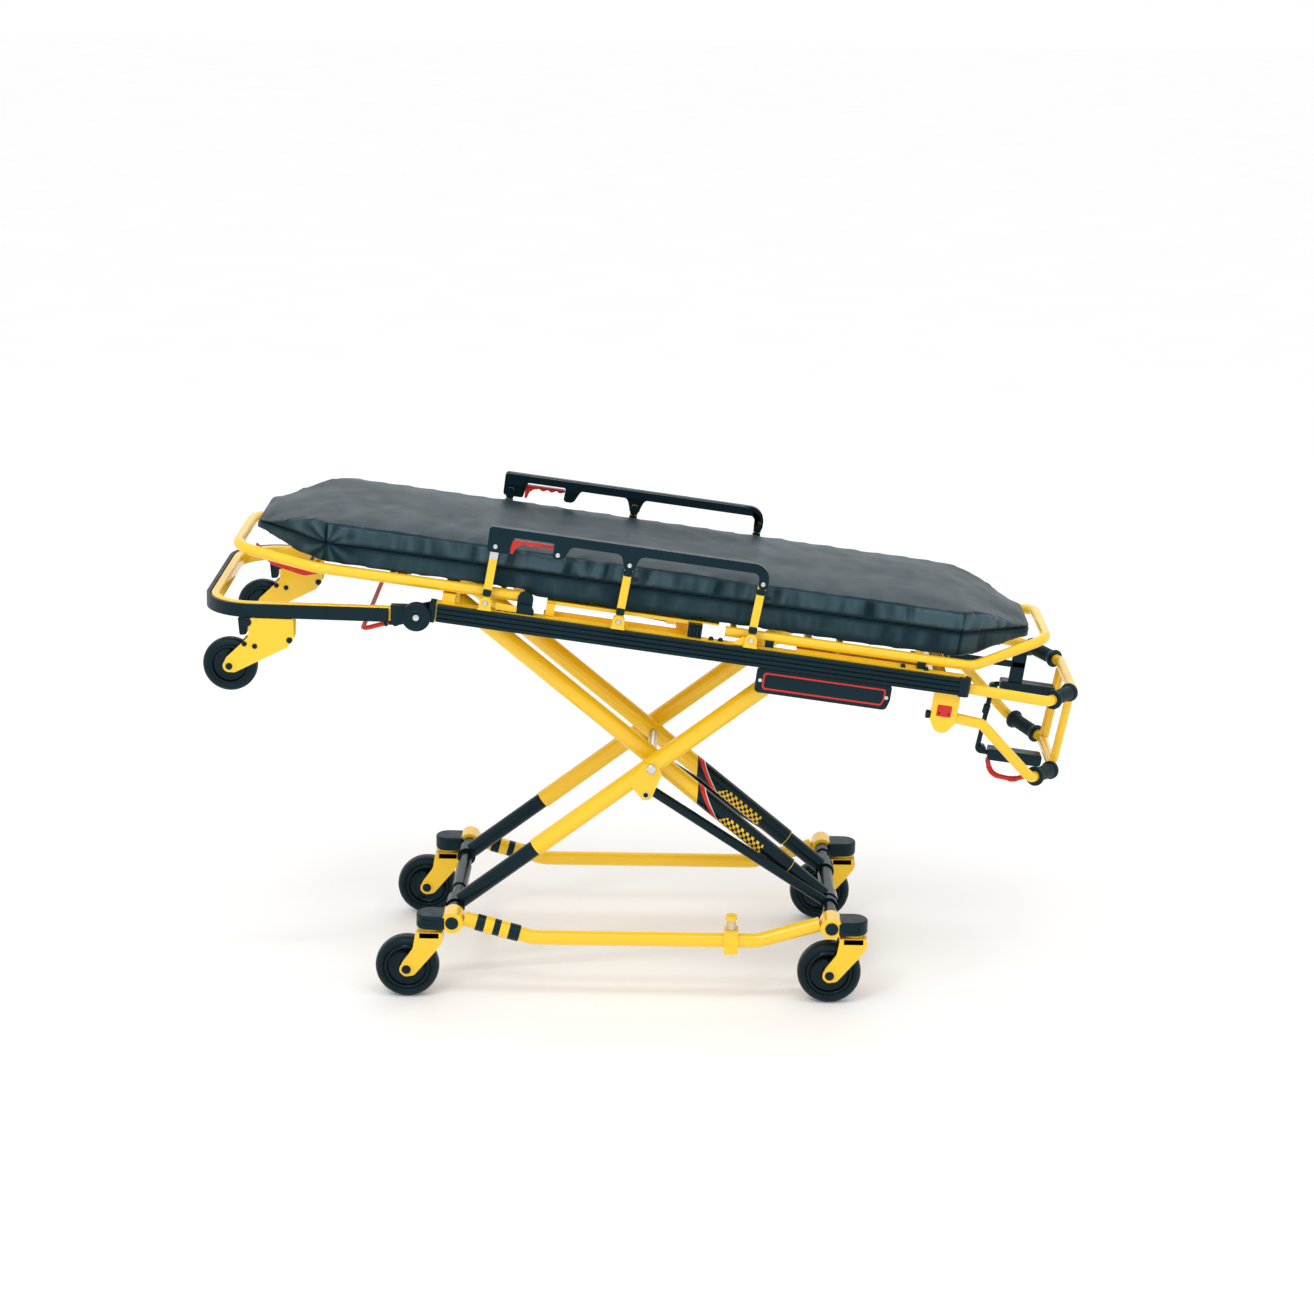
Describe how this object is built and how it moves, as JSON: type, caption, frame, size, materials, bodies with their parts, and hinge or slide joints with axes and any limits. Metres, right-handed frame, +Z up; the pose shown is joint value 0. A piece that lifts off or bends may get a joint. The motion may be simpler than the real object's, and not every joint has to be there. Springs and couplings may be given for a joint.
{
  "type": "stretcher trolley",
  "caption": "Ambulance stretcher trolley: folding telescopic X-frame undercarriage on castors, litter with tilting backrest, fold-down siderails, folding head section and padded mattress.",
  "frame": {"origin": "on the floor under the middle of the base", "axes": "+X along the litter towards the foot end, +Y towards the far siderail, +Z up"},
  "size_m": [2.0447, 0.602, 1.1759],
  "materials": {
    "yellow_paint": "gloss",
    "black_paint": "satin",
    "black_rubber": "satin",
    "black_plastic": "satin",
    "bright_steel": "satin",
    "red_plastic": "satin",
    "vinyl": "satin",
    "tyre": "satin",
    "hub_plastic": "satin"
  },
  "bodies": {
    "base": {"base_cross_tubes": "black_paint", "base_side_rails": "yellow_paint", "corner_castings": "yellow_paint", "corner_bumpers": "black_rubber", "rail_sleeves": "black_plastic", "fastener_post": "yellow_paint"},
    "long_leg_inner": {"long_leg_inner_tubes": "black_paint"},
    "long_leg_outer": {"long_leg_outer_tubes": "yellow_paint", "long_leg_shafts": "bright_steel"},
    "short_leg_inner": {"short_leg_inner_tubes": "black_paint"},
    "short_leg_outer": {"short_leg_outer_tubes": "yellow_paint", "short_leg_shaft": "bright_steel"},
    "links": {"link_bars": "black_paint"},
    "litter": {"litter_rails": "yellow_paint", "rail_bumpers": "black_rubber", "litter_cross_members": "yellow_paint", "head_pivot_brackets": "black_plastic", "support_brackets": "black_plastic", "seat_panel": "yellow_paint", "foot_frame": "yellow_paint", "mattress_seat_foot": "vinyl", "foot_lift_bars": "yellow_paint", "lift_bar_grips": "black_rubber", "name_plate": "black_plastic", "release_housings": "black_plastic"},
    "backrest": {"backrest_frame": "yellow_paint", "mattress_backrest": "vinyl"},
    "strut_cylinder": {"strut_cylinder": "black_paint"},
    "strut_rod": {"strut_rod": "bright_steel"},
    "head_section": {"head_section_frame": "yellow_paint", "head_section_rubber": "black_rubber", "head_section_knuckles": "black_plastic", "load_wheel_brackets": "yellow_paint"},
    "load_wheel_near": {"load_wheel_near": "tyre"},
    "load_wheel_far": {"load_wheel_far": "tyre"},
    "head_release_bail": {"head_release_bail": "red_plastic"},
    "upper_release_lever": {"upper_release_lever": "red_plastic"},
    "lower_release_lever": {"lower_release_lever": "red_plastic"},
    "near_post_head": {"near_post_head": "yellow_paint"},
    "near_post_middle": {"near_post_middle": "yellow_paint"},
    "near_post_foot": {"near_post_foot": "yellow_paint"},
    "near_top_rail": {"near_top_rail": "black_plastic"},
    "near_trigger": {"near_trigger": "red_plastic"},
    "far_post_head": {"far_post_head": "yellow_paint"},
    "far_post_middle": {"far_post_middle": "yellow_paint"},
    "far_post_foot": {"far_post_foot": "yellow_paint"},
    "far_top_rail": {"far_top_rail": "black_plastic"},
    "far_trigger": {"far_trigger": "red_plastic"},
    "castor_near_head": {"castor_fork_near_head": "yellow_paint"},
    "wheel_near_head": {"ground_tyre_near_head": "tyre", "ground_hub_near_head": "hub_plastic"},
    "castor_far_head": {"castor_fork_far_head": "yellow_paint"},
    "wheel_far_head": {"ground_tyre_far_head": "tyre", "ground_hub_far_head": "hub_plastic"},
    "castor_near_foot": {"castor_fork_near_foot": "yellow_paint"},
    "wheel_near_foot": {"ground_tyre_near_foot": "tyre", "ground_hub_near_foot": "hub_plastic"},
    "castor_far_foot": {"castor_fork_far_foot": "yellow_paint"},
    "wheel_far_foot": {"ground_tyre_far_foot": "tyre", "ground_hub_far_foot": "hub_plastic"}
  },
  "joints": [
    {"name": "height_fold", "type": "hinge", "parent": "base", "child": "long_leg_inner", "pos_m": [0.4485, 0, 0.195], "axis": [0, -1, 0], "range_deg": [0, 31.07]},
    {"name": "long_leg_slide", "type": "slide", "parent": "long_leg_inner", "child": "long_leg_outer", "axis": [0.7698, 0, -0.6383], "range_m": [0, 0.06459]},
    {"name": "short_leg_hinge", "type": "hinge", "parent": "base", "child": "short_leg_inner", "pos_m": [-0.4485, 0, 0.195], "axis": [0, 1, 0], "range_deg": [0, 27.17]},
    {"name": "short_leg_slide", "type": "slide", "parent": "short_leg_inner", "child": "short_leg_outer", "axis": [-0.7937, 0, -0.6082], "range_m": [0, 0.17316]},
    {"name": "link_hinge", "type": "hinge", "parent": "base", "child": "links", "pos_m": [0.4485, 0, 0.195], "axis": [0, -1, 0], "range_deg": [0, 31.01]},
    {"name": "litter_hinge", "type": "hinge", "parent": "long_leg_outer", "child": "litter", "pos_m": [-0.45606, 0, 0.94504], "axis": [0, 1, 0], "range_deg": [0, 24.06]},
    {"name": "backrest_tilt", "type": "hinge", "parent": "litter", "child": "backrest", "pos_m": [-0.27499, 0, 0.9797], "axis": [0, 1, 0], "range_deg": [0, 73]},
    {"name": "strut_hinge", "type": "hinge", "parent": "litter", "child": "strut_cylinder", "pos_m": [0.05818, 0, 0.86725], "axis": [0, 1, 0], "range_deg": [0, 7.49]},
    {"name": "strut_slide", "type": "slide", "parent": "strut_cylinder", "child": "strut_rod", "axis": [-0.9838, 0, 0.1792], "range_m": [0, 0.03976]},
    {"name": "head_section_fold", "type": "hinge", "parent": "litter", "child": "head_section", "pos_m": [-0.52419, 0, 0.9409], "axis": [0, 1, 0], "range_deg": [-90, 0]},
    {"name": "load_wheel_near_spin", "type": "hinge", "parent": "head_section", "child": "load_wheel_near", "pos_m": [-0.95727, -0.256, 0.81686], "axis": [0, 1, 0], "continuous": true},
    {"name": "load_wheel_far_spin", "type": "hinge", "parent": "head_section", "child": "load_wheel_far", "pos_m": [-0.95727, 0.256, 0.81686], "axis": [0, 1, 0], "continuous": true},
    {"name": "head_release", "type": "hinge", "parent": "litter", "child": "head_release_bail", "pos_m": [-0.57582, 0, 0.91643], "axis": [0, 1, 0], "range_deg": [0, 14], "stiffness_Nm_per_rad": 3},
    {"name": "near_siderail_fold", "type": "hinge", "parent": "litter", "child": "near_post_head", "pos_m": [-0.36644, -0.2655, 0.9746], "axis": [0, 1, 0], "range_deg": [0, 80]},
    {"name": "near_post_middle_hinge", "type": "hinge", "parent": "litter", "child": "near_post_middle", "pos_m": [-0.06107, -0.2655, 0.93439], "axis": [0, 1, 0], "range_deg": [0, 80]},
    {"name": "near_post_foot_hinge", "type": "hinge", "parent": "litter", "child": "near_post_foot", "pos_m": [0.2433, -0.2655, 0.89432], "axis": [0, 1, 0], "range_deg": [0, 80]},
    {"name": "near_top_rail_hinge", "type": "hinge", "parent": "near_post_head", "child": "near_top_rail", "pos_m": [-0.34151, -0.2655, 1.11033], "axis": [0, 1, 0], "range_deg": [-80, 0]},
    {"name": "near_trigger_press", "type": "slide", "parent": "near_top_rail", "child": "near_trigger", "axis": [0.1305, 0, 0.9914], "range_m": [0, 0.0035], "stiffness_N_per_m": 600},
    {"name": "far_siderail_fold", "type": "hinge", "parent": "litter", "child": "far_post_head", "pos_m": [-0.36644, 0.2655, 0.9746], "axis": [0, 1, 0], "range_deg": [0, 80]},
    {"name": "far_post_middle_hinge", "type": "hinge", "parent": "litter", "child": "far_post_middle", "pos_m": [-0.06107, 0.2655, 0.93439], "axis": [0, 1, 0], "range_deg": [0, 80]},
    {"name": "far_post_foot_hinge", "type": "hinge", "parent": "litter", "child": "far_post_foot", "pos_m": [0.2433, 0.2655, 0.89432], "axis": [0, 1, 0], "range_deg": [0, 80]},
    {"name": "far_top_rail_hinge", "type": "hinge", "parent": "far_post_head", "child": "far_top_rail", "pos_m": [-0.34151, 0.2655, 1.11033], "axis": [0, 1, 0], "range_deg": [-80, 0]},
    {"name": "far_trigger_press", "type": "slide", "parent": "far_top_rail", "child": "far_trigger", "axis": [0.1305, 0, 0.9914], "range_m": [0, 0.0035], "stiffness_N_per_m": 600},
    {"name": "upper_release_squeeze", "type": "hinge", "parent": "litter", "child": "upper_release_lever", "pos_m": [0.85582, 0, 0.68962], "axis": [0, -1, 0], "range_deg": [0, 5], "stiffness_Nm_per_rad": 4},
    {"name": "lower_release_squeeze", "type": "hinge", "parent": "litter", "child": "lower_release_lever", "pos_m": [0.82993, 0, 0.52358], "axis": [0, -1, 0], "range_deg": [0, 6], "stiffness_Nm_per_rad": 4},
    {"name": "castor_near_head_swivel", "type": "hinge", "parent": "base", "child": "castor_near_head", "pos_m": [-0.502, -0.265, 0.17], "axis": [0, 0, 1], "continuous": true},
    {"name": "wheel_near_head_spin", "type": "hinge", "parent": "castor_near_head", "child": "wheel_near_head", "pos_m": [-0.5575, -0.265, 0.076], "axis": [0, 1, 0], "continuous": true},
    {"name": "castor_far_head_swivel", "type": "hinge", "parent": "base", "child": "castor_far_head", "pos_m": [-0.502, 0.265, 0.17], "axis": [0, 0, 1], "continuous": true},
    {"name": "wheel_far_head_spin", "type": "hinge", "parent": "castor_far_head", "child": "wheel_far_head", "pos_m": [-0.5575, 0.265, 0.076], "axis": [0, 1, 0], "continuous": true},
    {"name": "castor_near_foot_swivel", "type": "hinge", "parent": "base", "child": "castor_near_foot", "pos_m": [0.502, -0.265, 0.17], "axis": [0, 0, 1], "continuous": true},
    {"name": "wheel_near_foot_spin", "type": "hinge", "parent": "castor_near_foot", "child": "wheel_near_foot", "pos_m": [0.4465, -0.265, 0.076], "axis": [0, 1, 0], "continuous": true},
    {"name": "castor_far_foot_swivel", "type": "hinge", "parent": "base", "child": "castor_far_foot", "pos_m": [0.502, 0.265, 0.17], "axis": [0, 0, 1], "continuous": true},
    {"name": "wheel_far_foot_spin", "type": "hinge", "parent": "castor_far_foot", "child": "wheel_far_foot", "pos_m": [0.4465, 0.265, 0.076], "axis": [0, 1, 0], "continuous": true}
  ],
  "couplings": [
    {"joint": "long_leg_slide", "follows": "height_fold", "m_per_rad": 0.11911},
    {"joint": "short_leg_hinge", "follows": "height_fold", "ratio": 0.87453},
    {"joint": "short_leg_slide", "follows": "height_fold", "m_per_rad": 0.31934},
    {"joint": "link_hinge", "follows": "height_fold", "ratio": 0.99812},
    {"joint": "litter_hinge", "follows": "height_fold", "ratio": 0.77444},
    {"joint": "strut_hinge", "follows": "backrest_tilt", "ratio": 0.10253},
    {"joint": "strut_slide", "follows": "backrest_tilt", "m_per_rad": 0.031206},
    {"joint": "near_post_middle_hinge", "follows": "near_siderail_fold", "ratio": 1},
    {"joint": "near_post_foot_hinge", "follows": "near_siderail_fold", "ratio": 1},
    {"joint": "near_top_rail_hinge", "follows": "near_siderail_fold", "ratio": -1},
    {"joint": "far_post_middle_hinge", "follows": "far_siderail_fold", "ratio": 1},
    {"joint": "far_post_foot_hinge", "follows": "far_siderail_fold", "ratio": 1},
    {"joint": "far_top_rail_hinge", "follows": "far_siderail_fold", "ratio": -1}
  ]
}
